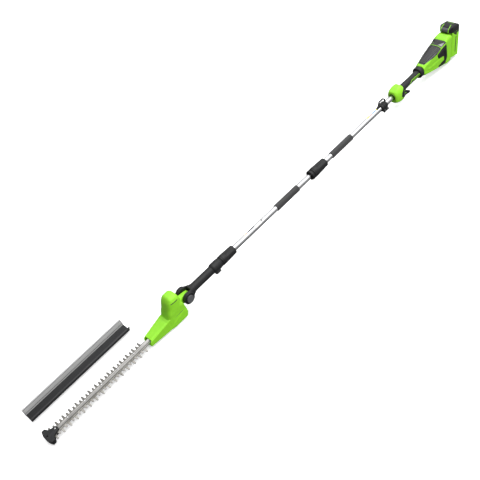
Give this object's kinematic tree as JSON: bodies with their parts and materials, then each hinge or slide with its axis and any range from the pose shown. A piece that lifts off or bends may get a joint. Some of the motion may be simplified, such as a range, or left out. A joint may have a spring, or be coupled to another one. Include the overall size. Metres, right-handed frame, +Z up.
{
  "type": "pole hedge trimmer",
  "caption": "Battery hedge trimmer on a long two-section aluminium pole, with a tilting double-edged cutter head, a rear grip and power head, and a loose blade sheath.",
  "frame": {"origin": "centre of the hang hole in the tip guard, halfway through the guard's plain thickness", "axes": "+X along the pole from the blade's tip back to the battery, +Z up out of the hang hole, away from the teeth's plane, +Y to the operator's right"},
  "size_m": [2.775, 0.2382, 0.1865],
  "materials": {
    "lime_shell": "satin moulded plastic",
    "black_plastic": "fine moulded grain",
    "grey_plastic": "fine moulded grain",
    "blade_steel": "ground",
    "inner_steel": "machined",
    "bolt_steel": "bright plated",
    "pole_aluminium": "bare, polished",
    "foam": "closed-cell foam",
    "brass": "plain",
    "board": "circuit board",
    "cable_jacket": "smooth",
    "cell_wrap": "shrink wrap"
  },
  "bodies": {
    "rear_section": {"rear_tube": "pole_aluminium", "rear_foam_grip": "foam", "rear_stop_collar": "grey_plastic", "rear_wire": "cable_jacket", "strap_clamp_upper": "black_plastic", "strap_clamp_lower": "black_plastic", "clamp_bolts": "inner_steel", "pole_bushing": "black_plastic", "trigger_housing_left": "lime_shell", "trigger_housing_right": "lime_shell", "handle_screws": "inner_steel", "grip_shell_left": "black_plastic", "grip_shell_right": "black_plastic", "grip_collar": "black_plastic", "powerhead_shell_left": "lime_shell", "powerhead_shell_right": "lime_shell", "top_vent_cover": "black_plastic", "side_vent_left": "black_plastic", "side_vent_right": "black_plastic", "control_board": "board", "battery_dock": "black_plastic", "battery_terminals": "brass", "switch_box": "grey_plastic", "trigger_spring": "bolt_steel"},
    "rear_nut": {"rear_coupling_nut": "black_plastic"},
    "middle_section": {"mid_tube": "pole_aluminium", "front_foam_grip": "foam", "front_stop_collar": "grey_plastic", "rear_ferrule": "black_plastic", "mid_wire": "cable_jacket"},
    "front_nut": {"front_coupling_nut": "black_plastic"},
    "fork_section": {"fork": "black_plastic", "pivot_pin": "inner_steel", "front_ferrule": "black_plastic", "button_spring": "bolt_steel"},
    "tilt_button": {"pivot_button": "grey_plastic"},
    "cutter_head": {"head_shell_left": "lime_shell", "head_shell_right": "lime_shell", "head_screws": "inner_steel", "gearbox_plate": "inner_steel", "motor_can": "inner_steel", "gear_bearing": "inner_steel", "tilt_ratchet": "inner_steel", "blade_bar": "blade_steel", "blade_bolts": "bolt_steel", "tip_guard": "black_plastic"},
    "motor_rotor": {"motor_shaft": "inner_steel", "pinion": "inner_steel"},
    "gear": {"drive_gear": "inner_steel", "eccentric_cams": "inner_steel"},
    "upper_blade": {"upper_blade": "blade_steel"},
    "lower_blade": {"lower_blade": "blade_steel"},
    "trigger": {"trigger": "black_plastic"},
    "lock_off": {"lock_off_button": "black_plastic"},
    "battery": {"battery_case": "lime_shell", "battery_cells": "cell_wrap", "battery_cap": "black_plastic"},
    "battery_latch": {"battery_latch": "grey_plastic"},
    "sheath": {"blade_sheath": "black_plastic"}
  },
  "joints": [
    {"name": "rear_section_pull", "type": "slide", "parent": "rear_section", "child": "middle_section", "axis": [-1, 0, 0], "range_m": [0, 0.075]},
    {"name": "rear_nut_turn", "type": "hinge", "parent": "rear_section", "child": "rear_nut", "pos_m": [1.654, 0, 0.05], "axis": [1, 0, 0], "range_deg": [0, 720]},
    {"name": "front_section_pull", "type": "slide", "parent": "middle_section", "child": "fork_section", "axis": [-1, 0, 0], "range_m": [0, 0.075]},
    {"name": "front_nut_turn", "type": "hinge", "parent": "middle_section", "child": "front_nut", "pos_m": [1.024, 0, 0.05], "axis": [1, 0, 0], "range_deg": [0, 720]},
    {"name": "head_tilt", "type": "hinge", "parent": "fork_section", "child": "cutter_head", "pos_m": [0.772, 0, 0.05], "axis": [0, 1, 0], "range_deg": [-90, 45]},
    {"name": "tilt_button_press", "type": "slide", "parent": "fork_section", "child": "tilt_button", "axis": [0, 1, 0], "range_m": [0, 0.004], "stiffness_N_per_m": 1500, "springref_m": -0.003},
    {"name": "gear_spin", "type": "hinge", "parent": "cutter_head", "child": "gear", "pos_m": [0.655, 0, 0.024], "axis": [0, 0, 1], "continuous": true},
    {"name": "motor_spin", "type": "hinge", "parent": "cutter_head", "child": "motor_rotor", "pos_m": [0.68875, 0, 0.024], "axis": [0, 0, 1], "continuous": true},
    {"name": "upper_blade_stroke", "type": "slide", "parent": "cutter_head", "child": "upper_blade", "axis": [1, 0, 0], "range_m": [-0.006, 0.006]},
    {"name": "lower_blade_stroke", "type": "slide", "parent": "cutter_head", "child": "lower_blade", "axis": [1, 0, 0], "range_m": [-0.006, 0.006]},
    {"name": "trigger_squeeze", "type": "hinge", "parent": "rear_section", "child": "trigger", "pos_m": [2.314, 0, 0.026], "axis": [0, -1, 0], "range_deg": [0, 12], "stiffness_Nm_per_rad": 0.6, "springref_deg": -14.32, "deforming": ["trigger_spring"]},
    {"name": "lock_off_press", "type": "slide", "parent": "rear_section", "child": "lock_off", "axis": [0, -1, 0], "range_m": [0, 0.003], "stiffness_N_per_m": 800, "springref_m": -0.003},
    {"name": "battery_pull", "type": "slide", "parent": "rear_section", "child": "battery", "axis": [0.2079, 0, 0.9781], "range_m": [0, 0.16]},
    {"name": "latch_press", "type": "slide", "parent": "battery", "child": "battery_latch", "axis": [0.9781, 0, -0.2079], "range_m": [0, 0.004], "stiffness_N_per_m": 800, "springref_m": -0.003},
    {"name": "sheath_lift", "type": "slide", "parent": "rear_section", "child": "sheath", "axis": [0, 0, 1], "range_m": [0, 0.12]}
  ],
  "couplings": [
    {"joint": "motor_spin", "follows": "gear_spin", "ratio": -4},
    {"joint": "lower_blade_stroke", "follows": "upper_blade_stroke", "ratio": -1}
  ]
}
